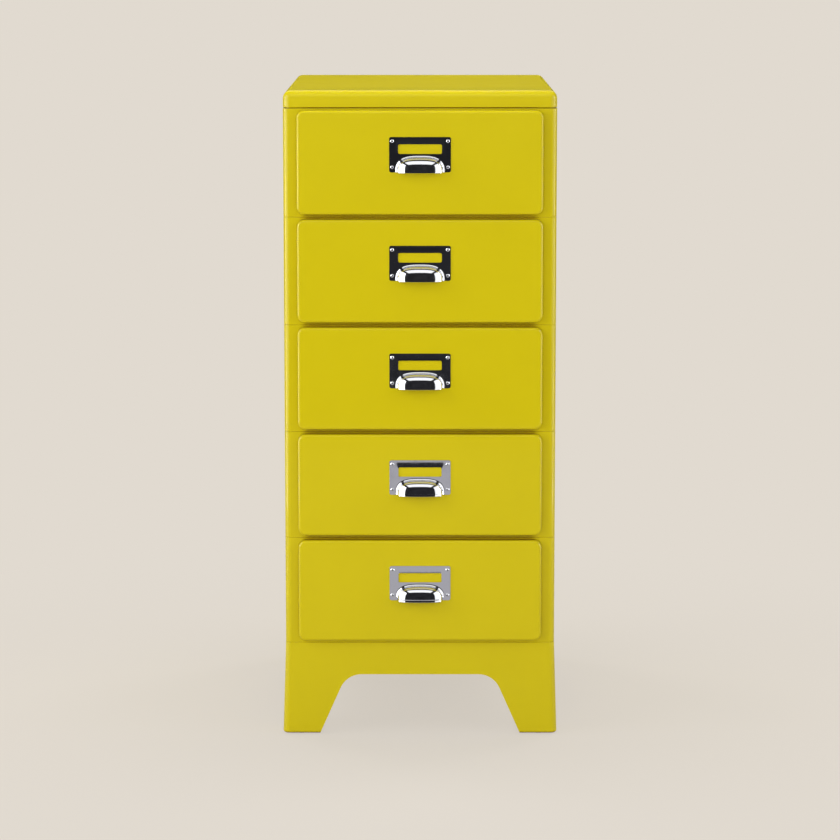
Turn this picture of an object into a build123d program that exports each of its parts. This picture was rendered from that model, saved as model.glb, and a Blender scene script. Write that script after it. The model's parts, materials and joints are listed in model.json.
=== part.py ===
"""Archive cabinet: a slim steel chest of five drawers.

Five equal drawer cases are stacked on a flared leg base and closed by a pressed top cap. Each drawer
is a folded tray that hangs by its flanges in two channels, and it carries a pressed front with a
stamped label holder and cup pull.

Millimetres. +Z is up and the drawer fronts face -Y. The origin is on the floor, under the middle of
the cabinet's overall box, which reaches from the tips of the pulls to the flared back of the base.
"""

import os

from build123d import *

os.makedirs("parts", exist_ok=True)

# Cabinet body
drawer_count = 5
body_width = 280.0
body_depth = 380.0
case_height = 111.0
cap_height = 18.0
base_height = 98.0
sheet = 0.8
corner_radius = 6.5
seam_bend = 0.6
flange_width = 16.0
flange_corner = 4.0
cap_edge_radius = 6.0

# Leg base
base_sheet = 1.2
base_flare = 3.0
leg_width = 38.0
arch_height = 64.0
arch_lean = 28.5
arch_radius = 24.0
foot_bend = 2.5

# Foot glides
glide_thickness = 1.5
glide_diameter = 22.0
glide_stem_diameter = 5.0
glide_stem_length = 7.0
glide_clearance = 0.1

# Screwed joints through the flanges of the stack
bolt_diameter = 4.0
bolt_clearance = 0.25
bolt_head_diameter = 7.6
bolt_head_height = 2.4
bolt_tail = 1.0
bolt_span_y = 280.0
nut_across_flats = 7.0
nut_height = 3.2
nut_clearance = 0.05

# Drawer front
post_width = 14.0
front_lift = 3.0
front_head_room = 2.0
front_reach = 8.0
front_gap = 0.8
front_corner = 6.0
front_edge_radius = 3.0
front_overlap = 4.5
liner_clearance = 0.2
opening_corner = 4.0

# Closing buffers
buffer_diameter = 3.4
buffer_inset = 21.0

# Back panel
back_border = 14.0
panel_clearance = 0.5
back_press = 0.6
back_field_clearance = 2.0

# Drawer tray and its channels
tray_side_room = 1.0
tray_flange = 9.0
tray_floor_room = 4.0
tray_rim_room = 8.0
tray_back_room = 20.0
tray_bend = 1.6
runner_sheet = 1.0
runner_height = 7.0
runner_side_gap = 0.8
runner_end_gap = 1.0
drawer_travel = 285.0
stop_width = 6.0
stop_drop = 4.0
stop_lug_height = 4.5
stop_spare = 0.5

# Label holder and cup pull
plate_width = 63.0
plate_height = 36.0
plate_thickness = 1.0
plate_corner = 1.6
pull_drop = 44.6
window_width = 46.0
window_height = 10.2
window_corner = 1.0
window_rise = 5.7
frame_width = 51.5
frame_height = 15.6
frame_rise = 1.2
frame_centre = 7.5
frame_corner = 1.8
cup_width = 52.0
cup_height = 17.5
cup_reach = 15.0
cup_crown_radius = 65.0
cup_shoulder_radius = 14.0
cup_round = 8.0
cup_sheet = 1.0

# Rivets of the pull
rivet_span_x = 57.0
rivet_span_z = 26.5
rivet_lift = 0.6
rivet_diameter = 2.6
rivet_clearance = 0.1
rivet_head_diameter = 4.2
rivet_head_height = 1.2
rivet_dome_share = 0.9
rivet_tail_diameter = 4.0
rivet_tail_height = 0.7

# Places along Y: the overall box is centred on the origin
pull_reach = plate_thickness + cup_reach
overall_depth = pull_reach + front_reach + body_depth + base_flare
body_front_y = pull_reach + front_reach - overall_depth / 2
body_back_y = body_front_y + body_depth
body_mid_y = body_front_y + body_depth / 2
front_face_y = body_front_y - front_reach
front_rim_y = body_front_y - front_gap

# Places in a case, whose underside is at Z = 0 until it is lifted into the stack
wall_x = body_width / 2 - sheet
front_width = body_width - 2 * post_width
front_height = case_height - front_lift - front_head_room
front_mid_z = front_lift + front_height / 2
opening_width = front_width - 2 * front_overlap
opening_height = front_height - 2 * front_overlap
opening_low_z = front_lift + front_overlap
opening_high_z = opening_low_z + opening_height
tray_flange_x = opening_width / 2 - tray_side_room
tray_side_x = tray_flange_x - tray_flange
tray_floor_z = opening_low_z + tray_floor_room
tray_rim_z = opening_high_z - tray_rim_room
tray_back_y = body_back_y - tray_back_room
tray_depth = tray_back_y - front_rim_y
tray_mid_y = (tray_back_y + front_rim_y) / 2
runner_front_y = body_front_y + corner_radius + runner_end_gap
runner_back_y = body_back_y - corner_radius - runner_end_gap
runner_inner_x = tray_side_x + runner_side_gap
runner_floor_z = tray_rim_z - sheet
runner_roof_z = runner_floor_z + runner_height
stop_x = tray_flange_x - stop_width / 2
lug_y = runner_front_y + runner_sheet + drawer_travel + stop_spare
pull_mid_z = front_lift + front_height - pull_drop
buffer_x = front_width / 2 - buffer_inset
flange_mid_x = body_width / 2 - (flange_width + sheet) / 2
leg_out_x = body_width / 2 + base_flare
leg_out_y = body_depth / 2 + base_flare


def facing_front(y, z=0.0):
    """An upright plane that faces the front, with X to the right and Z up."""
    return Plane(origin=(0, y, z), x_dir=(1, 0, 0), z_dir=(0, -1, 0))


def facing_back(y, z=0.0):
    """An upright plane that faces the back, with Z up."""
    return Plane(origin=(0, y, z), x_dir=(-1, 0, 0), z_dir=(0, 1, 0))


def body_plane(z):
    """A level plane on the middle of the body."""
    return Plane(origin=(0, body_mid_y, z))


def write(piece, name, lift=0.0):
    """Write one piece, lifted to its place in the stack."""
    placed = piece.moved(Location((0, 0, lift)))
    placed.label = name
    export_step(placed, f"parts/{name}.step")


# Drawer case: a sleeve with flanges above and below, posts in front and a border behind
with BuildPart() as case:
    with BuildSketch(body_plane(0)):
        RectangleRounded(body_width, body_depth, corner_radius)
    extrude(amount=case_height)
    level_edges = case.edges().group_by(Axis.Z)
    fillet(level_edges[0] + level_edges[-1], seam_bend)
    with BuildSketch(body_plane(sheet)):
        RectangleRounded(body_width - 2 * sheet, body_depth - 2 * sheet, corner_radius - sheet)
    extrude(amount=case_height - 2 * sheet, mode=Mode.SUBTRACT)
    with BuildSketch(body_plane(0)):
        RectangleRounded(body_width - 2 * flange_width, body_depth - 2 * flange_width, flange_corner)
    extrude(amount=case_height, mode=Mode.SUBTRACT)
    with BuildSketch(facing_front(body_front_y, front_mid_z)):
        RectangleRounded(opening_width, opening_height, opening_corner)
    extrude(amount=-flange_width / 2, mode=Mode.SUBTRACT)
    with BuildSketch(facing_back(body_back_y, case_height / 2)):
        RectangleRounded(body_width - 2 * back_border, case_height - 2 * back_border, opening_corner)
    extrude(amount=-flange_width / 2, mode=Mode.SUBTRACT)
    with BuildSketch(body_plane(0)):
        with GridLocations(2 * flange_mid_x, bolt_span_y, 2, 2):
            Circle(bolt_diameter / 2 + bolt_clearance)
    extrude(amount=case_height, mode=Mode.SUBTRACT)

# Back panel: seated inside the border, with a shallow pressed field that shows from behind
with BuildPart() as back_panel:
    panel_width = body_width - 2 * corner_radius - 2 * panel_clearance
    panel_height = case_height - 2 * sheet - 2 * panel_clearance
    with BuildSketch(facing_back(body_back_y - sheet, case_height / 2)):
        Rectangle(panel_width, panel_height)
    extrude(amount=-sheet)
    with BuildSketch(facing_back(body_back_y - sheet, case_height / 2)):
        RectangleRounded(
            body_width - 2 * back_border - 2 * back_field_clearance,
            case_height - 2 * back_border - 2 * back_field_clearance,
            opening_corner - back_field_clearance,
        )
    extrude(amount=back_press)

# Channels on the walls: the tray's flange lies on the floor of each, behind a stop tab
with BuildPart() as runner_right:
    runner_width = wall_x - runner_inner_x
    with BuildSketch(facing_front(runner_front_y)):
        with Locations((runner_inner_x, runner_floor_z - runner_sheet)):
            Rectangle(runner_width, runner_height + 2 * runner_sheet, align=Align.MIN)
        with Locations((runner_inner_x, runner_floor_z)):
            Rectangle(runner_width - runner_sheet, runner_height, align=Align.MIN, mode=Mode.SUBTRACT)
    extrude(amount=runner_front_y - runner_back_y)
    with BuildSketch(facing_front(runner_front_y)):
        with Locations((stop_x, runner_roof_z)):
            Rectangle(stop_width, stop_drop, align=(Align.CENTER, Align.MAX))
    extrude(amount=-runner_sheet)

with BuildPart() as runner_left:
    mirror(runner_right.part, about=Plane.YZ)

# Tray: folded box with outward flanges and a stop lug on each flange
with BuildPart() as tray:
    with BuildSketch(Plane(origin=(0, tray_mid_y, tray_floor_z))):
        Rectangle(2 * tray_side_x, tray_depth)
    extrude(amount=tray_rim_z - tray_floor_z)
    fillet(tray.edges().group_by(Axis.Z)[0], tray_bend)
    offset(amount=-sheet, openings=tray.faces().sort_by(Axis.Z)[-1])
    with BuildSketch(Plane(origin=(0, tray_mid_y, tray_rim_z - sheet))):
        Rectangle(2 * tray_flange_x, tray_depth)
        Rectangle(2 * tray_side_x - sheet, tray_depth, mode=Mode.SUBTRACT)
    extrude(amount=sheet)
    with BuildSketch(facing_front(lug_y, tray_rim_z)):
        with GridLocations(2 * stop_x, 0, 2, 1):
            Rectangle(stop_width, stop_lug_height, align=(Align.CENTER, Align.MIN))
    extrude(amount=-sheet)


def pan_form(inset):
    """The block of a drawer front, drawn in by a sheet thickness for its inside."""
    with BuildPart() as form:
        with BuildSketch(facing_front(front_rim_y, front_mid_z)):
            RectangleRounded(front_width - 2 * inset, front_height - 2 * inset, front_corner - inset)
        extrude(amount=front_reach - front_gap - inset)
        fillet(form.edges().group_by(Axis.Y)[0], front_edge_radius - inset)
    return form.part


# Drawer front: a pressed pan, open at the back, with holes for the pull's rivets
pan_outside = pan_form(0)
pan_inside = pan_form(sheet)
with BuildPart() as drawer_front:
    add(pan_outside)
    add(pan_inside, mode=Mode.SUBTRACT)
    with BuildSketch(facing_front(front_face_y, pull_mid_z + rivet_lift)):
        with GridLocations(rivet_span_x, rivet_span_z, 2, 2):
            Circle(rivet_diameter / 2 + rivet_clearance)
    extrude(amount=-2 * sheet, mode=Mode.SUBTRACT)

# Liner: the flat sheet that closes the pan, with the tray's front wall against it
with BuildPart() as front_liner:
    liner_inset = sheet + liner_clearance
    with BuildSketch(facing_front(front_rim_y, front_mid_z)):
        RectangleRounded(
            front_width - 2 * liner_inset,
            front_height - 2 * liner_inset,
            front_corner - liner_inset,
        )
    extrude(amount=sheet)


def cup_form(inset, root_y):
    """The hood of the pull from a root plane forward, drawn in by a sheet thickness for its inside."""
    half_width = cup_width / 2 - inset
    crown_radius = cup_crown_radius - inset
    crown_drop = crown_radius - (crown_radius**2 - half_width**2) ** 0.5
    crown_z = cup_height - inset
    with BuildPart() as form:
        with BuildSketch(facing_front(root_y, pull_mid_z - plate_height / 2)):
            with BuildLine():
                Polyline(
                    (-half_width, crown_z - crown_drop),
                    (-half_width, 0),
                    (half_width, 0),
                    (half_width, crown_z - crown_drop),
                )
                ThreePointArc(
                    (half_width, crown_z - crown_drop),
                    (0, crown_z),
                    (-half_width, crown_z - crown_drop),
                )
            hood = make_face()
            fillet(hood.vertices().group_by(Axis.Y)[-1], cup_shoulder_radius - inset)
        extrude(amount=root_y - (front_face_y - pull_reach + inset))
        foremost = form.faces().sort_by(Axis.Y)[0]
        fillet(foremost.edges().sort_by(Axis.Z)[1:], cup_round - inset)
    return form.part


# Label holder and cup pull: one stamping with a raised window frame and a hood open below and behind
cup_outside = cup_form(0, front_face_y - plate_thickness)
cup_inside = cup_form(cup_sheet, front_face_y)
with BuildPart() as label_pull:
    with BuildSketch(facing_front(front_face_y, pull_mid_z)):
        RectangleRounded(plate_width, plate_height, plate_corner)
    extrude(amount=plate_thickness)
    with BuildSketch(facing_front(front_face_y, pull_mid_z + frame_centre)):
        RectangleRounded(frame_width, frame_height, frame_corner)
    extrude(amount=plate_thickness + frame_rise)
    add(cup_outside)
    with BuildSketch(facing_front(front_face_y, pull_mid_z + frame_centre)):
        RectangleRounded(
            frame_width - 2 * plate_thickness,
            frame_height - 2 * plate_thickness,
            frame_corner - plate_thickness,
        )
    extrude(amount=frame_rise, mode=Mode.SUBTRACT)
    with BuildSketch(facing_front(front_face_y, pull_mid_z + window_rise)):
        RectangleRounded(window_width, window_height, window_corner)
    extrude(amount=plate_thickness + frame_rise, mode=Mode.SUBTRACT)
    add(cup_inside, mode=Mode.SUBTRACT)
    with BuildSketch(facing_front(front_face_y, pull_mid_z + rivet_lift)):
        with GridLocations(rivet_span_x, rivet_span_z, 2, 2):
            Circle(rivet_diameter / 2 + rivet_clearance)
    extrude(amount=plate_thickness, mode=Mode.SUBTRACT)

# Rivets: a dome in front of the plate, a shank through both sheets and a flat tail behind
with BuildPart() as pull_rivets:
    with BuildSketch(facing_front(front_face_y - plate_thickness, pull_mid_z + rivet_lift)):
        with GridLocations(rivet_span_x, rivet_span_z, 2, 2):
            Circle(rivet_head_diameter / 2)
    extrude(amount=rivet_head_height)
    fillet(pull_rivets.edges().group_by(Axis.Y)[0], rivet_head_height * rivet_dome_share)
    with BuildSketch(facing_front(front_face_y - plate_thickness, pull_mid_z + rivet_lift)):
        with GridLocations(rivet_span_x, rivet_span_z, 2, 2):
            Circle(rivet_diameter / 2)
    extrude(amount=-(plate_thickness + sheet))
    with BuildSketch(facing_front(front_face_y + sheet, pull_mid_z + rivet_lift)):
        with GridLocations(rivet_span_x, rivet_span_z, 2, 2):
            Circle(rivet_tail_diameter / 2)
    extrude(amount=-rivet_tail_height)

# Closing buffers: discs on the rails of every case, each just as thick as the gap behind a front
with BuildPart() as closing_buffers:
    for level in range(drawer_count):
        case_z = base_height + level * case_height
        with BuildSketch(facing_front(body_front_y, case_z + front_mid_z)):
            with GridLocations(2 * buffer_x, opening_height + front_overlap, 2, 2):
                Circle(buffer_diameter / 2)
        extrude(amount=front_gap)

# Top cap: a pressed lid with a flange turned in along its lower edge
cap_z = base_height + drawer_count * case_height
with BuildPart() as top_cap:
    with BuildSketch(body_plane(cap_z)):
        RectangleRounded(body_width, body_depth, corner_radius)
    extrude(amount=cap_height)
    level_edges = top_cap.edges().group_by(Axis.Z)
    fillet(level_edges[-1], cap_edge_radius)
    fillet(top_cap.edges().group_by(Axis.Z)[0], seam_bend)
    with BuildSketch(body_plane(cap_z + sheet)):
        RectangleRounded(body_width - 2 * sheet, body_depth - 2 * sheet, corner_radius - sheet)
    hollow = extrude(amount=cap_height - 2 * sheet, mode=Mode.PRIVATE)
    hollow = hollow.fillet(cap_edge_radius - sheet, hollow.edges().group_by(Axis.Z)[-1])
    add(hollow, mode=Mode.SUBTRACT)
    with BuildSketch(body_plane(cap_z)):
        RectangleRounded(body_width - 2 * flange_width, body_depth - 2 * flange_width, flange_corner)
    extrude(amount=sheet, mode=Mode.SUBTRACT)
    with BuildSketch(body_plane(cap_z)):
        with GridLocations(2 * flange_mid_x, bolt_span_y, 2, 2):
            Circle(bolt_diameter / 2 + bolt_clearance)
    extrude(amount=sheet, mode=Mode.SUBTRACT)


def base_form(inset):
    """The flared block of the base, drawn in by a sheet thickness for its inside."""
    with BuildPart() as form:
        with BuildSketch(body_plane(glide_thickness + inset)):
            RectangleRounded(2 * (leg_out_x - inset), 2 * (leg_out_y - inset), corner_radius - inset)
        with BuildSketch(body_plane(base_height - inset)):
            RectangleRounded(body_width - 2 * inset, body_depth - 2 * inset, corner_radius - inset)
        loft()
        fillet(form.edges().group_by(Axis.Z)[0], foot_bend - inset)
    return form.part


def arch_profile(plane, half_width):
    """A round-shouldered arch that leans in from the legs."""
    with BuildSketch(plane) as profile:
        with BuildLine():
            Polyline(
                (-half_width, 0),
                (-half_width + arch_lean, arch_height),
                (half_width - arch_lean, arch_height),
                (half_width, 0),
                close=True,
            )
        arch = make_face()
        fillet(arch.vertices().group_by(Axis.Y)[-1], arch_radius)
    return profile.sketch


# Leg base: the skirt, the flange on its top, a sole under each leg and arches on all four sides
base_outside = base_form(0)
base_inside = base_form(base_sheet)
facing_side = Plane(origin=(0, body_mid_y, 0), x_dir=(0, 1, 0), z_dir=(1, 0, 0))
front_arch = arch_profile(facing_front(body_mid_y), leg_out_x - leg_width)
side_arch = arch_profile(facing_side, leg_out_y - leg_width)
with BuildPart() as leg_base:
    add(base_outside)
    fillet(leg_base.edges().group_by(Axis.Z)[-1], seam_bend)
    add(base_inside, mode=Mode.SUBTRACT)
    with BuildSketch(body_plane(base_height)):
        RectangleRounded(body_width - 2 * flange_width, body_depth - 2 * flange_width, flange_corner)
    extrude(amount=-2 * base_sheet, mode=Mode.SUBTRACT)
    extrude(front_arch, amount=2 * leg_out_y, both=True, mode=Mode.SUBTRACT)
    extrude(side_arch, amount=2 * leg_out_x, both=True, mode=Mode.SUBTRACT)
    with BuildSketch(body_plane(base_height)):
        with GridLocations(2 * flange_mid_x, bolt_span_y, 2, 2):
            Circle(bolt_diameter / 2 + bolt_clearance)
    extrude(amount=-2 * base_sheet, mode=Mode.SUBTRACT)
    with BuildSketch(body_plane(glide_thickness)):
        with GridLocations(2 * leg_out_x - leg_width, 2 * leg_out_y - leg_width, 2, 2):
            Circle(glide_stem_diameter / 2 + glide_clearance)
    extrude(amount=2 * base_sheet, mode=Mode.SUBTRACT)

# Foot glides: a disc under each sole with a stem pushed up through it
with BuildPart() as foot_glides:
    with BuildSketch(body_plane(0)):
        with GridLocations(2 * leg_out_x - leg_width, 2 * leg_out_y - leg_width, 2, 2):
            Circle(glide_diameter / 2)
    extrude(amount=glide_thickness)
    with BuildSketch(body_plane(glide_thickness)):
        with GridLocations(2 * leg_out_x - leg_width, 2 * leg_out_y - leg_width, 2, 2):
            Circle(glide_stem_diameter / 2)
    extrude(amount=glide_stem_length)


def write_joint(name, head_seats, grip, way):
    """Write the screws and nuts of some stacked joints.

    The heads sit on level faces at the heights given, on the side that way points to, and each nut
    is a grip away, on the other side of the two flanges.
    """
    with BuildPart() as bolts:
        for seat in head_seats:
            head_plane = Plane(origin=(0, body_mid_y, seat), z_dir=(0, 0, way))
            with BuildSketch(head_plane):
                with GridLocations(2 * flange_mid_x, bolt_span_y, 2, 2):
                    Circle(bolt_head_diameter / 2)
            extrude(amount=bolt_head_height)
            with BuildSketch(head_plane):
                with GridLocations(2 * flange_mid_x, bolt_span_y, 2, 2):
                    Circle(bolt_diameter / 2)
            extrude(amount=-(grip + nut_height + bolt_tail))
    with BuildPart() as nuts:
        for seat in head_seats:
            with BuildSketch(Plane(origin=(0, body_mid_y, seat - way * grip), z_dir=(0, 0, way))):
                with GridLocations(2 * flange_mid_x, bolt_span_y, 2, 2):
                    RegularPolygon(nut_across_flats / 2, 6, major_radius=False)
                    Circle(bolt_diameter / 2 + nut_clearance, mode=Mode.SUBTRACT)
            extrude(amount=-nut_height)
    write(bolts.part, f"{name}_bolts")
    write(nuts.part, f"{name}_nuts")


# The stack: one set of pieces for every drawer, numbered from the top
drawer_pieces = {
    "case": case.part,
    "back_panel": back_panel.part,
    "runner_left": runner_left.part,
    "runner_right": runner_right.part,
    "tray": tray.part,
    "drawer_front": drawer_front.part,
    "front_liner": front_liner.part,
    "label_pull": label_pull.part,
    "pull_rivets": pull_rivets.part,
}
for number in range(1, drawer_count + 1):
    lift = base_height + (drawer_count - number) * case_height
    for name, piece in drawer_pieces.items():
        write(piece, f"{name}_{number}", lift)

write(top_cap.part, "top_cap")
write(leg_base.part, "leg_base")
write(foot_glides.part, "foot_glides")
write(closing_buffers.part, "closing_buffers")
case_seats = [base_height + level * case_height + sheet for level in range(1, drawer_count)]
write_joint("case", case_seats, 2 * sheet, 1)
write_joint("base", [base_height + sheet], sheet + base_sheet, 1)
write_joint("cap", [cap_z - sheet], 2 * sheet, -1)
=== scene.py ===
# %% [markdown]
# A five-drawer archive cabinet
#
# The object is a slim steel chest: five drawer cases stacked on a flared leg base, enamelled yellow, with
# a chrome label holder and cup pull on every drawer. The solids come from a CAD model that is already at
# its real size, so this lesson gives them their finishes, rebuilds the pieces whose smooth shapes catch
# the light, and sets up a small photo studio around them. Everything is in metres, with +Z up and the
# drawers facing -Y.

# %% Load the frame
import json
import math

import bmesh
import bpy
from mathutils import Matrix, Vector


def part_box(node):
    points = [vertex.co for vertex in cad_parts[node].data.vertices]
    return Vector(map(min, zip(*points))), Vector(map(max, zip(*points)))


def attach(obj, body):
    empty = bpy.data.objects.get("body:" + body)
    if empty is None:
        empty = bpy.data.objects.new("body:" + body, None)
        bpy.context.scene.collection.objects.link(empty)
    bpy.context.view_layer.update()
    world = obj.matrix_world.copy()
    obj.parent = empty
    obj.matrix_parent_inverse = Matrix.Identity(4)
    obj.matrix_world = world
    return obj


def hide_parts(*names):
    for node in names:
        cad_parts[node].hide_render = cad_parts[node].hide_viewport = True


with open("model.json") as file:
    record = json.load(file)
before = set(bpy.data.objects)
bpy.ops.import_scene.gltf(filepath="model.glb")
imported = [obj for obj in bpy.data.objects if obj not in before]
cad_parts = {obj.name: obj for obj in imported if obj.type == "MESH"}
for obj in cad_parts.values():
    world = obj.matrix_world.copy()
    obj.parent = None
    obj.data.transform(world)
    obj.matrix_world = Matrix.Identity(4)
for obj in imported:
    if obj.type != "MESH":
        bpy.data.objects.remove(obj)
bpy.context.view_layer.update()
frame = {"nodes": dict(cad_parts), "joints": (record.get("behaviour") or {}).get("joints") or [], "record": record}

MM = 0.001
drawer_numbers = range(1, len(frame["joints"]) + 1)

# %% [markdown]
# The camera
#
# The photograph is a catalogue view: the camera stands straight in front, a little above the top, and
# looks slightly down, so the lid shows as a thin slanted band. A long lens keeps the sides nearly
# parallel. The focal length is worked out for a square picture, from how wide the cabinet appears in it.

# %% Place the camera
picture_px = 840
focal_px = 3328
sensor_mm = 36.0
camera_distance = 3.4
camera_height = 0.833
camera_pitch = math.radians(8.38)
quarter_turn = math.pi / 2
case_front_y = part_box("case_1")[0].y

camera_data = bpy.data.cameras.new("catalogue_camera")
camera_data.sensor_width = sensor_mm
camera_data.lens = focal_px / picture_px * sensor_mm
camera = bpy.data.objects.new("catalogue_camera", camera_data)
camera.location = (0.0, case_front_y - camera_distance, camera_height)
camera.rotation_euler = (quarter_turn - camera_pitch, 0.0, 0.0)
bpy.context.scene.collection.objects.link(camera)
bpy.context.scene.camera = camera
bpy.context.scene.view_settings.view_transform = "Standard"
print(f"lens {camera_data.lens:.0f} mm at {camera_distance} m")

# %% [markdown]
# Helpers for finishes
#
# Colours are written as sRGB hex values, as a paint maker lists them, and Blender's shaders want linear
# light, so one function converts them. A node tree is easier to read when each node is one call, so a
# second function adds a node, sets its properties, and fills its sockets with plain values or with links.
# A third one starts an empty material. The colour sockets of a Mix node have the same names as its number
# sockets, so they are reached by their places, and these get names here.


# %% Colour and node helpers
MIX_A = 6
MIX_B = 7
MIXED = 2


def linear(hex_colour):
    """An sRGB hex colour as linear red, green, blue and alpha."""
    channels = [int(hex_colour[i:i + 2], 16) / 255 for i in (1, 3, 5)]
    return [c / 12.92 if c <= 0.04045 else ((c + 0.055) / 1.055) ** 2.4 for c in channels] + [1.0]


def add_node(tree, kind, sockets=None, **settings):
    """Add a node, set its properties, and give its sockets values or links."""
    added = tree.nodes.new(kind)
    for name, value in settings.items():
        setattr(added, name, value)
    for name, value in (sockets or {}).items():
        if isinstance(value, bpy.types.NodeSocket):
            tree.links.new(value, added.inputs[name])
        else:
            added.inputs[name].default_value = value
    return added


def new_material(name):
    """An empty material with its node tree, Object coordinates and output."""
    material = bpy.data.materials.new(name)
    material.use_nodes = True
    tree = material.node_tree
    tree.nodes.clear()
    coordinates = add_node(tree, "ShaderNodeTexCoord").outputs["Object"]
    output = add_node(tree, "ShaderNodeOutputMaterial")
    return material, tree, coordinates, output


# %% [markdown]
# Baked enamel
#
# The steel is sprayed and baked, which leaves a tough satin-gloss skin. Close up it isn't flat: the wet
# paint sets in tiny waves, called orange peel, and the film is a shade thicker in some places than in
# others. A flat yellow would look like plastic, so two noises drive the colour and the gloss, and a third
# one the waves. The narrow gaps around the drawers get painted shade: an Ambient Occlusion node finds
# them, and the colour turns dark amber there. This stands in for the shadow in those gaps and for the
# light that goes from yellow to yellow inside them.

# %% Yellow baked enamel
film_patch = 70 * MM
gloss_patch = 25 * MM
peel_wave = 2.2 * MM
peel_height = 0.0025 * MM
shade_reach = 9 * MM
shade_starts = 0.52
shade_full = 0.34
occlusion_samples = 8
thick_film_hex = "#CAB903"
thin_film_hex = "#D0BF06"
gap_shade_hex = "#865C00"

enamel, tree, coordinates, output = new_material("baked_enamel_yellow")
film = add_node(tree, "ShaderNodeTexNoise", {"Vector": coordinates, "Scale": 1 / film_patch, "Detail": 3.0})
colour = add_node(tree, "ShaderNodeMix", {
    "Factor": film.outputs["Fac"], MIX_A: linear(thick_film_hex), MIX_B: linear(thin_film_hex)},
    data_type="RGBA")
# Painted shade: the colour turns dark amber in the gaps that this Ambient Occlusion node finds.
openness = add_node(tree, "ShaderNodeAmbientOcclusion", {"Distance": shade_reach}, samples=occlusion_samples)
gap_shade_mask = add_node(tree, "ShaderNodeMapRange", {
    "Value": openness.outputs["AO"], "From Min": shade_starts, "From Max": shade_full})
shaded_colour = add_node(tree, "ShaderNodeMix", {
    "Factor": gap_shade_mask.outputs["Result"], MIX_A: colour.outputs[MIXED], MIX_B: linear(gap_shade_hex)},
    data_type="RGBA")
gloss = add_node(tree, "ShaderNodeTexNoise", {
    "Vector": coordinates, "Scale": 1 / gloss_patch, "Detail": 4.0})
roughness = add_node(tree, "ShaderNodeMapRange", {
    "Value": gloss.outputs["Fac"], "To Min": 0.30, "To Max": 0.40})
peel = add_node(tree, "ShaderNodeTexNoise", {"Vector": coordinates, "Scale": 1 / peel_wave, "Detail": 1.0})
waves = add_node(tree, "ShaderNodeBump", {
    "Height": peel.outputs["Fac"], "Distance": peel_height, "Strength": 1.0})
paint = add_node(tree, "ShaderNodeBsdfPrincipled", {
    "Base Color": shaded_colour.outputs[MIXED], "Roughness": roughness.outputs["Result"], "IOR": 1.52,
    "Specular IOR Level": 0.1, "Coat Weight": 0.3, "Coat Roughness": 0.08,
    "Normal": waves.outputs["Normal"], "Coat Normal": waves.outputs["Normal"]})
tree.links.new(paint.outputs["BSDF"], output.inputs["Surface"])
print("made", enamel.name)

# %% [markdown]
# Chrome plate
#
# The label holders are pressed from steel and plated with nickel and chrome: a cold, almost mirror-like
# metal. What the eye sees in it is the studio, so most of its look comes from the lights. Two small
# things keep it from looking computer-made: the stamped sheet is never quite flat, and fingers leave
# faint dull patches. A noise each gives these. Tight corners, such as the holes of the rivets, get
# painted shade: an Ambient Occlusion node finds them, and the colour turns near black there.

# %% Chrome
smudge_size = 9 * MM
ripple_size = 14 * MM
ripple_height = 0.02 * MM
crevice_reach = 2 * MM
crevice_starts = 0.7
crevice_full = 0.4
chrome_hex = "#DADBE0"
crevice_shade_hex = "#161618"

chrome, tree, coordinates, output = new_material("chrome_plate")
smudge = add_node(tree, "ShaderNodeTexNoise", {
    "Vector": coordinates, "Scale": 1 / smudge_size, "Detail": 5.0})
roughness = add_node(tree, "ShaderNodeMapRange", {
    "Value": smudge.outputs["Fac"], "From Min": 0.35, "From Max": 0.75, "To Min": 0.05, "To Max": 0.12})
ripple = add_node(tree, "ShaderNodeTexNoise", {
    "Vector": coordinates, "Scale": 1 / ripple_size, "Detail": 0.0})
stamping = add_node(tree, "ShaderNodeBump", {
    "Height": ripple.outputs["Fac"], "Distance": ripple_height, "Strength": 1.0})
# Painted shade: the colour turns near black in the tight corners that this Ambient Occlusion node finds.
openness = add_node(
    tree, "ShaderNodeAmbientOcclusion", {"Distance": crevice_reach}, samples=occlusion_samples)
crevice = add_node(tree, "ShaderNodeMapRange", {
    "Value": openness.outputs["AO"], "From Min": crevice_starts, "From Max": crevice_full})
colour = add_node(tree, "ShaderNodeMix", {
    "Factor": crevice.outputs["Result"], MIX_A: linear(chrome_hex), MIX_B: linear(crevice_shade_hex)},
    data_type="RGBA")
plating = add_node(tree, "ShaderNodeBsdfPrincipled", {
    "Base Color": colour.outputs[MIXED], "Metallic": 1.0, "Roughness": roughness.outputs["Result"],
    "Normal": stamping.outputs["Normal"]})
tree.links.new(plating.outputs["BSDF"], output.inputs["Surface"])
print("made", chrome.name)

# %% [markdown]
# Galvanised sheet
#
# The channels that carry the drawers are plain zinc-dipped steel. As the zinc cools it freezes into
# crystals, the spangle, a few millimetres wide and each a little lighter or darker. A noise would blur
# them into clouds, so a Voronoi texture gives each crystal its own value.

# %% Galvanised steel
spangle_size = 6 * MM
dark_crystal_hex = "#A4A7AA"
light_crystal_hex = "#C3C6C8"

galvanised, tree, coordinates, output = new_material("galvanised_sheet")
spangle = add_node(tree, "ShaderNodeTexVoronoi", {"Vector": coordinates, "Scale": 1 / spangle_size})
crystal = add_node(tree, "ShaderNodeSeparateColor", {"Color": spangle.outputs["Color"]})
colour = add_node(tree, "ShaderNodeMix", {
    "Factor": crystal.outputs["Red"], MIX_A: linear(dark_crystal_hex), MIX_B: linear(light_crystal_hex)},
    data_type="RGBA")
roughness = add_node(tree, "ShaderNodeMapRange", {
    "Value": crystal.outputs["Green"], "To Min": 0.38, "To Max": 0.55})
zinc = add_node(tree, "ShaderNodeBsdfPrincipled", {
    "Base Color": colour.outputs[MIXED], "Metallic": 1.0, "Roughness": roughness.outputs["Result"]})
tree.links.new(zinc.outputs["BSDF"], output.inputs["Surface"])
print("made", galvanised.name)

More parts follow.
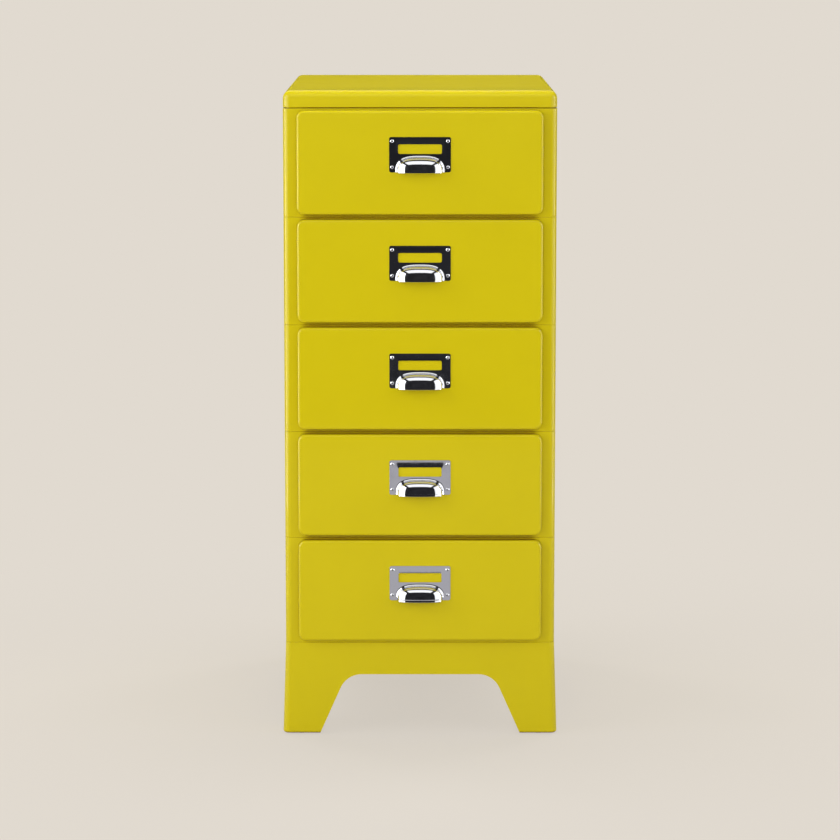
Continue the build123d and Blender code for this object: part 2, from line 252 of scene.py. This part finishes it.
# %% [markdown]
# Bright zinc, black plastic and black rubber
#
# The screws and nuts are electroplated with zinc, which is brighter than the dipped sheet and faintly
# blue. The foot glides are moulded from a hard black plastic with a fine spark-eroded grain, and the
# closing buffers from a dull rubber. All three are small, so a noise of fine grain in colour and gloss is
# enough.

# %% Small finishes
gloss_spread = 0.06
small_finishes = {}
for slot, name, dark, light, metallic, rough, grain in (
        ("zinc_steel", "bright_zinc_plate", "#A9ADB2", "#C4C8CC", 1.0, 0.28, 1.5 * MM),
        ("black_plastic", "moulded_black_plastic", "#161616", "#212121", 0.0, 0.45, 0.8 * MM),
        ("black_rubber", "moulded_black_rubber", "#191919", "#242322", 0.0, 0.75, 0.6 * MM)):
    material, tree, coordinates, output = new_material(name)
    speckle = add_node(tree, "ShaderNodeTexNoise", {
        "Vector": coordinates, "Scale": 1 / grain, "Detail": 3.0})
    colour = add_node(tree, "ShaderNodeMix", {
        "Factor": speckle.outputs["Fac"], MIX_A: linear(dark), MIX_B: linear(light)}, data_type="RGBA")
    roughness = add_node(tree, "ShaderNodeMapRange", {
        "Value": speckle.outputs["Fac"], "To Min": rough - gloss_spread, "To Max": rough + gloss_spread})
    surface = add_node(tree, "ShaderNodeBsdfPrincipled", {
        "Base Color": colour.outputs[MIXED], "Metallic": metallic, "Roughness": roughness.outputs["Result"]})
    tree.links.new(surface.outputs["BSDF"], output.inputs["Surface"])
    small_finishes[slot] = material
print("made", [m.name for m in small_finishes.values()])

# %% [markdown]
# Dress the solids
#
# Every solid of the frame already says which finish it takes, in the record that comes with it. So one
# loop gives each of them its material, and no list of names has to be kept by hand.

# %% Finishes of the solids
finishes = {"yellow_enamel": enamel, "chrome": chrome, "galvanised_steel": galvanised, **small_finishes}
for row in frame["record"]["subparts"]:
    for material_slot in frame["nodes"][row["node"]].material_slots:
        material_slot.material = finishes[row["material_slot"]]

# %% [markdown]
# Helpers for sheet metal
#
# Seen from the front, every pressed piece here is a nest of rounded rectangles, so it can be made as a
# row of such loops, each a little smaller or further out than the last one. Two loops at one level are
# filled in flat, and the others are bridged. The last helpers turn a bmesh into an object, and a smooth
# one into a piece that rides a drawer or the cabinet.


# %% Loops and skins
corner_steps = 5
level_tolerance = 0.0001 * MM


def rounded_loop(bm, width, height, corner, middle_z, y, segments=corner_steps):
    """A rounded rectangle that faces the front, as a closed loop of edges."""
    before = set(bm.faces)
    corners = bmesh.ops.create_grid(bm, x_segments=1, y_segments=1, size=0.5)["verts"]
    bmesh.ops.scale(bm, verts=corners, vec=(width, height, 1))
    bmesh.ops.rotate(bm, verts=corners, matrix=Matrix.Rotation(quarter_turn, 3, "X"))
    bmesh.ops.translate(bm, verts=corners, vec=(0, y, middle_z))
    bmesh.ops.bevel(
        bm, geom=corners, offset=corner, affect="VERTICES", segments=segments, profile=0.5, material=-1)
    face = next(f for f in bm.faces if f not in before)
    edges = list(face.edges)
    bmesh.ops.delete(bm, geom=[face], context="FACES_ONLY")
    return edges


def skin(bm, ring, following):
    """Faces between two loops: flat ones where both are level, a bridge elsewhere."""
    levels = [v.co.y for e in ring + following for v in e.verts]
    if max(levels) - min(levels) < level_tolerance:
        bmesh.ops.triangle_fill(bm, use_beauty=True, edges=ring + following)
    else:
        bmesh.ops.bridge_loops(bm, edges=ring + following)


def face_forward(bm):
    """Make the normals of an open skin agree, and point them to the front."""
    bmesh.ops.recalc_face_normals(bm, faces=bm.faces[:])
    if sum(f.normal.y * f.calc_area() for f in bm.faces) > 0:
        bmesh.ops.reverse_faces(bm, faces=bm.faces[:])


# %% Objects and pieces
crease_angle = math.radians(40)


def new_object(bm, name, material):
    """An object of one material in the scene, made from a bmesh, which is then freed."""
    mesh = bpy.data.meshes.new(name)
    bm.to_mesh(mesh)
    bm.free()
    mesh.materials.append(material)
    made = bpy.data.objects.new(name, mesh)
    bpy.context.scene.collection.objects.link(made)
    return made


def finish_piece(bm, name, body, slot, node):
    """Turn a bmesh into a smooth piece that rides a body and stands for a node."""
    bmesh.ops.recalc_face_normals(bm, faces=bm.faces[:])
    for face in bm.faces:
        face.smooth = True
    piece = new_object(bm, name, finishes[slot])
    piece.data.set_sharp_from_angle(angle=crease_angle)
    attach(piece, body)
    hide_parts(node)


# %% [markdown]
# Drawer fronts and lid
#
# Both are pans: a flat sheet whose edge is drawn over a round die. Light runs along that bend as one
# clean line, so it gets an even quarter circle of loops. The flat face starts one loop further in, which
# keeps it flat to the eye, and solidify gives the sheet its thickness on the inside. The lid is the same
# pan turned to face up. Its lower edge stands off the top case by a little under a millimetre, which
# draws the dark line under it.


# %% Pressed pans
sheet_thickness = 0.8 * MM
bend_steps = 10
pan_corner_steps = 10
flat_margin = 1.2 * MM
least_corner = 0.3 * MM


def bend_rows(depth, radius):
    """Inset and reach of the loops round the bend of a pan, and of the start of its flat face."""
    turns = [quarter_turn * k / bend_steps for k in range(bend_steps + 1)]
    rows = [(radius * (1 - math.cos(a)), depth - radius + radius * math.sin(a)) for a in turns]
    return rows + [(radius + flat_margin, depth)]


def pressed_pan(width, height, corner, rows):
    """A pan of thin sheet that faces the front, with its rim at Y = 0."""
    bm = bmesh.new()
    rings = []
    for inset, reach in rows:
        loop = (width - 2 * inset, height - 2 * inset, max(corner - inset, least_corner), 0)
        rings.append(rounded_loop(bm, *loop, -reach, pan_corner_steps))
    for ring, following in zip(rings, rings[1:]):
        skin(bm, ring, following)
    bmesh.ops.edgeloop_fill(bm, edges=rings[-1])
    face_forward(bm)
    bmesh.ops.solidify(bm, geom=bm.faces[:], thickness=sheet_thickness)
    return bm


# %% Drawer fronts
front_corner = 8.0 * MM
front_bend = 3.0 * MM
front_low, front_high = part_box("drawer_front_1")
front_size = front_high - front_low
front_rows = [(0, 0)] + bend_rows(front_size.y, front_bend)
for number in drawer_numbers:
    front = pressed_pan(front_size.x, front_size.z, front_corner, front_rows)
    low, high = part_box(f"drawer_front_{number}")
    bmesh.ops.translate(front, verts=front.verts[:], vec=(0, high.y, (low.z + high.z) / 2))
    finish_piece(
        front, f"pressed_front_{number}", f"drawer_{number}", "yellow_enamel", f"drawer_front_{number}")
print("front in mm:", [round(v / MM, 1) for v in front_size])

# %% Lid
lid_corner = 8.0 * MM
lid_bend = 8.0 * MM
flange_width = 16.0 * MM
groove_depth = 2.5 * MM
groove_height = 0.8 * MM
edge_round = 0.4 * MM
lid_low, lid_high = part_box("top_cap")
lid_size = lid_high - lid_low
rim_rows = [
    (flange_width, 0), (groove_depth, 0), (groove_depth, groove_height), (edge_round, groove_height),
    (0, groove_height + edge_round)]
lid = pressed_pan(lid_size.x, lid_size.y, lid_corner, rim_rows + bend_rows(lid_size.z, lid_bend))
bmesh.ops.rotate(lid, verts=lid.verts[:], matrix=Matrix.Rotation(-quarter_turn, 3, "X"))
bmesh.ops.translate(lid, verts=lid.verts[:], vec=(0, (lid_low.y + lid_high.y) / 2, lid_low.z))
print("lid faces:", len(lid.faces))
finish_piece(lid, "pressed_lid", "cabinet", "yellow_enamel", "top_cap")

# %% [markdown]
# The label plate
#
# The plate and the frame around its label window are pressed from one sheet. Above and beside the window
# the sheet lifts off the drawer, more and more towards the window, and below the window it stays flat.
# The lift is only a fifth of a millimetre, but a mirror shows it: the sheet tilts, and the room that it
# mirrors turns from floor to dark cloth. The last loop lies level with the first one, and filling between
# them closes the ring at the back.

# %% Sizes of the label plate
plate_low, plate_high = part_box("label_pull_1")
plate_size = plate_high - plate_low
plate_middle_z = (plate_low.z + plate_high.z) / 2
drawer_face_y = plate_high.y
plate_thickness = 1.0 * MM
plate_front_y = drawer_face_y - plate_thickness
plate_corner = 2.0 * MM
edge_inset = 0.04 * MM
edge_depth = 0.12 * MM
window_width = 44.7 * MM
window_height = 9.8 * MM
window_corner = 1.4 * MM
window_z = plate_middle_z + 5.7 * MM
frame_width = 51.4 * MM
frame_corner = 2.4 * MM
frame_top_z = plate_middle_z + 17.0 * MM
frame_bottom_z = plate_middle_z - 0.4 * MM
frame_margin = 0.25 * MM
frame_lift = 0.2 * MM
lift_steps = 8
print("plate in mm:", [round(v / MM, 1) for v in plate_size])


# %% Larger loops and lifted loops
def grown(loop, by):
    """Width, height, corner radius and middle of a loop that is larger all round."""
    width, height, corner, middle_z = loop
    return width + 2 * by, height + 2 * by, corner + by, middle_z


def lifted(ring, lift):
    """Pull a loop off the drawer: not at all at the window's lower edge, and fully at its upper edge."""
    for vert in {v for e in ring for v in e.verts}:
        share = min(max(0.5 + (vert.co.z - window_z) / window_height, 0.0), 1.0)
        vert.co.y -= lift * share**2 * (3 - 2 * share)
    return ring


# %% Label plate
plate = bmesh.new()
outer = (plate_size.x, plate_size.z, plate_corner, plate_middle_z)
window = (window_width, window_height, window_corner, window_z)
foot = (frame_width, frame_top_z - frame_bottom_z, frame_corner, (frame_top_z + frame_bottom_z) / 2)
crest = grown(window, edge_inset)
rings = [
    rounded_loop(plate, *outer, drawer_face_y),
    rounded_loop(plate, *outer, plate_front_y + edge_depth),
    rounded_loop(plate, *grown(outer, -edge_inset), plate_front_y),
    rounded_loop(plate, *grown(foot, frame_margin), plate_front_y)]
for step in range(lift_steps + 1):
    share = step / lift_steps
    between = [a + (b - a) * share for a, b in zip(foot, crest)]
    rings.append(lifted(rounded_loop(plate, *between, plate_front_y), frame_lift * share**2))
rings += [
    lifted(rounded_loop(plate, *window, plate_front_y + edge_depth), frame_lift),
    rounded_loop(plate, *window, drawer_face_y)]
for ring, following in zip(rings, rings[1:] + rings[:1]):
    skin(plate, ring, following)
print("plate loops:", len(rings), "faces:", len(plate.faces))

# %% [markdown]
# The cup
#
# Below the window the sheet swells out into a hood that the fingers hook under. It is fuller than a
# quarter of a ball: nearly flat in front, with broad round shoulders, and those shoulders are what mirror
# the side lights as bright white facets. A sphere is cut to its upper front quarter and every point is
# pushed out to a superellipsoid, whose two exponents say how square it is seen from above and from the
# side. The front leans out towards the lip, and a shallow line shows where the edge is folded in. The rim
# at the plate then flares out in a small fillet, as stamped metal does, and the wall gets its thickness
# on the inside.

# %% Cup hood
hood_half_width = 23.3 * MM
hood_height = 15.0 * MM
hood_reach = 10.9 * MM
hood_columns = 192
hood_rows = 64
plan_squareness = 2.75
side_squareness = 3.0
lip_flare = 0.6 * MM
lip_height = 6.0 * MM
hem_depth = 0.12 * MM
hem_height = 1.5 * MM
hem_half = 1.3 * MM
cut_tolerance = 1e-5

hood = bmesh.new()
bmesh.ops.create_uvsphere(hood, u_segments=hood_columns, v_segments=hood_rows, radius=1.0)
bmesh.ops.rotate(hood, verts=hood.verts[:], matrix=Matrix.Rotation(quarter_turn, 3, "Y"))
for normal in ((0, 1, 0), (0, 0, -1)):
    bmesh.ops.bisect_plane(
        hood, geom=hood.verts[:] + hood.edges[:] + hood.faces[:], dist=cut_tolerance, plane_co=(0, 0, 0),
        plane_no=normal, clear_outer=True)
outward = hood.verts.layers.float_vector.new("outward")
hood_size = Vector((hood_half_width, hood_reach, hood_height))
for vert in hood.verts:
    plan = sum(abs(c) ** plan_squareness for c in vert.co.xy) ** (1 / plan_squareness)
    unit = vert.co * (plan**side_squareness + abs(vert.co.z) ** side_squareness) ** (-1 / side_squareness)
    vert[outward] = Vector([
        math.copysign(abs(c) ** (side_squareness - 1), c) / size for c, size in zip(unit, hood_size)])
    vert.co = Vector([c * size for c, size in zip(unit, hood_size)])
    near_lip = max(0.0, 1 - vert.co.z / lip_height) ** 2
    near_hem = max(0.0, 1 - ((vert.co.z - hem_height) / hem_half) ** 2)
    vert.co.y += (lip_flare * near_lip - hem_depth * near_hem) * unit.y
print("hood points:", len(hood.verts))

# %% Fillet at the plate
flare_radius = 2.5 * MM
flare_steps = 10
rim_tolerance = 0.001 * MM

rim = [e for e in hood.edges if e.is_boundary and all(abs(v.co.y) < rim_tolerance for v in e.verts)]
for vert in {v for e in rim for v in e.verts}:
    vert[outward] = Vector((vert[outward].x, 0, vert[outward].z)).normalized()
for step in range(flare_steps):
    turn, next_turn = (quarter_turn * k / flare_steps for k in (step, step + 1))
    added = bmesh.ops.extrude_edge_only(hood, edges=rim)["geom"]
    rim = [g for g in added if isinstance(g, bmesh.types.BMEdge)]
    for vert in (g for g in added if isinstance(g, bmesh.types.BMVert)):
        vert.co += vert[outward] * flare_radius * (math.cos(turn) - math.cos(next_turn))
        vert.co.y += flare_radius * (math.sin(next_turn) - math.sin(turn))
print("rim edges:", len(rim))

# %% Wall and lip of the cup
hood_wall = 1.0 * MM
lip_angle = math.radians(60)
lip_round = 0.22 * MM
lip_steps = 2

face_forward(hood)
bmesh.ops.solidify(hood, geom=hood.faces[:], thickness=hood_wall)
lip = [e for e in hood.edges if e.is_manifold and e.calc_face_angle() > lip_angle]
bmesh.ops.bevel(
    hood, geom=lip, offset=lip_round, affect="EDGES", segments=lip_steps, profile=0.5, material=-1)
hood_root_y = plate_front_y - flare_radius
bmesh.ops.translate(hood, verts=hood.verts[:], vec=(0, hood_root_y, plate_low.z))
print("hood faces:", len(hood.faces), "front in mm:", round(min(v.co.y for v in hood.verts) / MM, 2),
      "plate front:", round(plate_low.y / MM, 2))

# %% [markdown]
# Join plate and cup, one for every drawer
#
# Both are one stamping on the real object, so they become one mesh. The five pulls are the same shape a
# case height apart, so a loop copies the mesh and lifts it to the place of each solid that it stands for.


# %% Five label pulls
def add_shape(bm, shape):
    """Copy a bmesh into another one."""
    carrier = bpy.data.meshes.new("carrier")
    shape.to_mesh(carrier)
    bm.from_mesh(carrier)
    bpy.data.meshes.remove(carrier)


add_shape(plate, hood)
hood.free()
for number in drawer_numbers:
    pull = plate.copy()
    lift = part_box(f"label_pull_{number}")[0].z - plate_low.z
    bmesh.ops.translate(pull, verts=pull.verts[:], vec=(0, 0, lift))
    finish_piece(pull, f"stamped_pull_{number}", f"drawer_{number}", "chrome", f"label_pull_{number}")
plate.free()
print("pulls:", len(drawer_numbers))

# %% [markdown]
# Pierced rivets
#
# Four small blind rivets hold each plate, domes with the hole of the pulled-out pin in the middle. A
# rivet head is round, so half of its outline is drawn once, from the bottom of the hole up over the dome,
# down to its edge and back to the middle, and spun about the rivet's axis. The heads stand where the CAD
# rivets do.

# %% Rivet head
rivet_radius = 1.85 * MM
rivet_height = 0.85 * MM
pin_hole_radius = 0.9 * MM
pin_hole_depth = 0.8 * MM
dome_radius = (rivet_radius**2 + rivet_height**2) / (2 * rivet_height)
dome_angle = math.asin(rivet_radius / dome_radius)
hole_angle = math.asin(pin_hole_radius / dome_radius)
dome_steps = 8
spin_steps = 24
weld_distance = 0.001 * MM

rivet = bmesh.new()
turns = [hole_angle + (dome_angle - hole_angle) * k / dome_steps for k in range(dome_steps + 1)]
hole_floor_y = pin_hole_depth - rivet_height
half_outline = [(0, hole_floor_y), (pin_hole_radius, hole_floor_y)]
half_outline += [(dome_radius * math.sin(a), dome_radius * (1 - math.cos(a)) - rivet_height) for a in turns]
half_outline.append((0, 0))
points = [rivet.verts.new((radius, y, 0)) for radius, y in half_outline]
edges = [rivet.edges.new(pair) for pair in zip(points, points[1:])]
bmesh.ops.spin(
    rivet, geom=points + edges, cent=(0, 0, 0), axis=(0, 1, 0), angle=math.tau, steps=spin_steps,
    use_merge=True)
bmesh.ops.remove_doubles(rivet, verts=rivet.verts[:], dist=weld_distance)
print("rivet faces:", len(rivet.faces))

# %% Four heads on every plate
head_low, head_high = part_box("pull_rivets_1")
solid_radius = 2.1 * MM
head_x = head_high.x - solid_radius
head_z = (head_high.z - head_low.z) / 2 - solid_radius
head_middle_z = (head_low.z + head_high.z) / 2
for number in drawer_numbers:
    heads = bmesh.new()
    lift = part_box(f"pull_rivets_{number}")[0].z - head_low.z
    for x in (-head_x, head_x):
        for z in (-head_z, head_z):
            head = rivet.copy()
            place = (x, plate_front_y, head_middle_z + z + lift)
            bmesh.ops.translate(head, verts=head.verts[:], vec=place)
            add_shape(heads, head)
            head.free()
    finish_piece(heads, f"rivet_heads_{number}", f"drawer_{number}", "chrome", f"pull_rivets_{number}")
rivet.free()
print("rivet heads at", round(head_x / MM, 1), round(head_z / MM, 1), "mm from the middle")

# %% [markdown]
# The studio floor
#
# In a studio the cabinet stands on a seamless sheet of warm grey paper that runs up behind it, so no
# horizon shows. Here the paper is a flat disc. Close to the feet a part of it is a real matt surface,
# which takes a soft shadow. Further out it turns into the even colour of the backdrop, which only the
# camera, mirrors and glass see, so it adds no light to the object. Mirrors see it a little greyer,
# because the paper in front of the cabinet gets less light than the paper behind it.

# %% Backdrop paper
shadow_radius = 0.3
fade_radius = 0.9
shadow_softness = 0.78
paper_hex = "#CFC8BE"
backdrop_hex = "#E1DAD0"
mirrored_hex = "#BEBCC0"


def eye_rays(tree, rays):
    """Whether a ray comes from the camera, a mirror or glass."""
    seen = rays["Is Camera Ray"]
    for kind in ("Is Glossy Ray", "Is Transmission Ray"):
        seen = add_node(tree, "ShaderNodeMath", {0: seen, 1: rays[kind]}, operation="MAXIMUM").outputs[0]
    return seen


paper, tree, coordinates, output = new_material("matt_backdrop_paper")
distance = add_node(tree, "ShaderNodeVectorMath", {0: coordinates}, operation="LENGTH")
fade = add_node(tree, "ShaderNodeMapRange", {
    "Value": distance.outputs["Value"], "From Min": shadow_radius, "From Max": fade_radius,
    "To Min": shadow_softness}, interpolation_type="SMOOTHSTEP")
rays = add_node(tree, "ShaderNodeLightPath").outputs
evenness = add_node(tree, "ShaderNodeMath", {
    0: fade.outputs["Result"], 1: eye_rays(tree, rays)}, operation="MULTIPLY")
matt = add_node(tree, "ShaderNodeBsdfDiffuse", {"Color": linear(paper_hex)})
shown = add_node(tree, "ShaderNodeMix", {
    "Factor": rays["Is Camera Ray"], MIX_A: linear(mirrored_hex), MIX_B: linear(backdrop_hex)},
    data_type="RGBA")
even = add_node(tree, "ShaderNodeEmission", {"Color": shown.outputs[MIXED]})
blended = add_node(tree, "ShaderNodeMixShader", {
    "Fac": evenness.outputs[0], 1: matt.outputs["BSDF"], 2: even.outputs["Emission"]})
tree.links.new(blended.outputs["Shader"], output.inputs["Surface"])
print("made", paper.name)

# %% Floor
floor_radius = 2.3
floor_sides = 96
disc = bmesh.new()
bmesh.ops.create_circle(disc, cap_ends=True, segments=floor_sides, radius=floor_radius)
floor = new_object(disc, "paper_floor", paper)
print("floor radius", floor_radius, "m")

# %% [markdown]
# The backdrop and the dark room
#
# The world is the pale backdrop wherever the camera or a mirror looks at it, and a dim fill for
# everything else. A photographer also hangs dark cloth around the camera, so that chrome shows crisp
# black between the white lights. Here that cloth is a sphere that only reflections can see, and a broad
# noise of two dark greys stands for its folds. It also keeps the flat lid from mirroring the pale
# backdrop, which would wash out its colour at such a low angle.

# %% World
fill_hex = "#FFFFFF"
fill_strength = 0.26
world = bpy.data.worlds.new("studio")
bpy.context.scene.world = world
world.use_nodes = True
tree = world.node_tree
tree.nodes.clear()
rays = add_node(tree, "ShaderNodeLightPath").outputs
fill = add_node(tree, "ShaderNodeBackground", {"Color": linear(fill_hex), "Strength": fill_strength})
backdrop = add_node(tree, "ShaderNodeBackground", {"Color": linear(backdrop_hex)})
sky = add_node(tree, "ShaderNodeMixShader", {
    "Fac": eye_rays(tree, rays), 1: fill.outputs["Background"], 2: backdrop.outputs["Background"]})
add_node(tree, "ShaderNodeOutputWorld", {"Surface": sky.outputs["Shader"]})
print("backdrop", backdrop_hex)

# %% Dark cloth
cloth_radius = 5.0
cloth_columns = 48
cloth_rows = 24
fold_width = 0.5
dark_fold_hex = "#0E0E11"
light_fold_hex = "#3C3C40"

velvet, tree, coordinates, output = new_material("black_velvet")
folds = add_node(tree, "ShaderNodeTexNoise", {"Vector": coordinates, "Scale": 1 / fold_width, "Detail": 1.0})
nap = add_node(tree, "ShaderNodeMix", {
    "Factor": folds.outputs["Fac"], MIX_A: linear(dark_fold_hex), MIX_B: linear(light_fold_hex)},
    data_type="RGBA")
dim = add_node(tree, "ShaderNodeEmission", {"Color": nap.outputs[MIXED]})
tree.links.new(dim.outputs["Emission"], output.inputs["Surface"])

ball = bmesh.new()
bmesh.ops.create_uvsphere(ball, u_segments=cloth_columns, v_segments=cloth_rows, radius=cloth_radius)
cloth = new_object(ball, "dark_cloth", velvet)
cloth.visible_camera = False
cloth.visible_diffuse = False
cloth.visible_transmission = False
cloth.visible_shadow = False
print("cloth radius", cloth_radius, "m")

# %% [markdown]
# The softboxes
#
# Chrome and enamel need large lights, because what they show is the shape of the light itself. A lamp in
# Blender can do two jobs apart: it lights surfaces, and it shows in shiny ones. So a softbox stands on
# each side for both, the left one stronger, as in the photograph. A box overhead, a tall strip beside
# each front edge and a wide one high behind only show, as white bands in the chrome and thin lines along
# the bends. The lamps for the lid, the front and the back only light.


# %% One softbox
def softbox(name, place, target, size, watts, lights=True, shows=True):
    """A rectangular lamp that faces a point, and that lights surfaces, shows in shiny ones or both."""
    lamp = bpy.data.lights.new(name, "AREA")
    lamp.shape = "RECTANGLE"
    lamp.size, lamp.size_y = size
    lamp.energy = watts
    holder = bpy.data.objects.new(name, lamp)
    holder.location = place
    holder.rotation_euler = (Vector(target) - Vector(place)).to_track_quat("-Z", "Y").to_euler()
    holder.visible_camera = False
    holder.visible_diffuse = lights
    holder.visible_glossy = shows
    bpy.context.scene.collection.objects.link(holder)


# %% Lights
softbox("left_side", place=(-1.5, -1.3, 1.0), target=(0.0, -1.3, 1.0), size=(2.1, 1.9), watts=32.0)
softbox("right_side", place=(1.5, -1.3, 1.0), target=(0.0, -1.3, 1.0), size=(2.1, 1.9), watts=18.0)
softbox("overhead", place=(0.0, -1.3, 1.75), target=(0.0, -1.3, 0.0), size=(1.6, 1.6), watts=11.0,
        lights=False)
softbox("left_strip", place=(-1.5, -0.42, 0.6), target=(0.0, -0.42, 0.6), size=(0.65, 1.9), watts=60.0,
        lights=False)
softbox("right_strip", place=(1.5, -0.42, 0.6), target=(0.0, -0.42, 0.6), size=(0.65, 1.9), watts=40.0,
        lights=False)
softbox("high_back", place=(0.0, 2.2, 2.7), target=(0.0, 0.0, 0.6), size=(3.0, 1.0), watts=22.0,
        lights=False)
softbox("above_lid", place=(0.0, 0.05, 1.6), target=(0.0, 0.05, 0.0), size=(0.5, 0.35), watts=8.8,
        shows=False)
softbox("front_fill", place=(0.0, -3.0, 1.1), target=(0.0, 0.0, 0.4), size=(2.0, 1.4), watts=20.0,
        shows=False)
softbox("back_left", place=(-2.0, 2.0, 1.3), target=(0.0, 0.2, 0.4), size=(1.2, 1.4), watts=36.0,
        shows=False)
softbox("back_right", place=(2.0, 2.0, 1.3), target=(0.0, 0.2, 0.4), size=(1.2, 1.4), watts=36.0,
        shows=False)
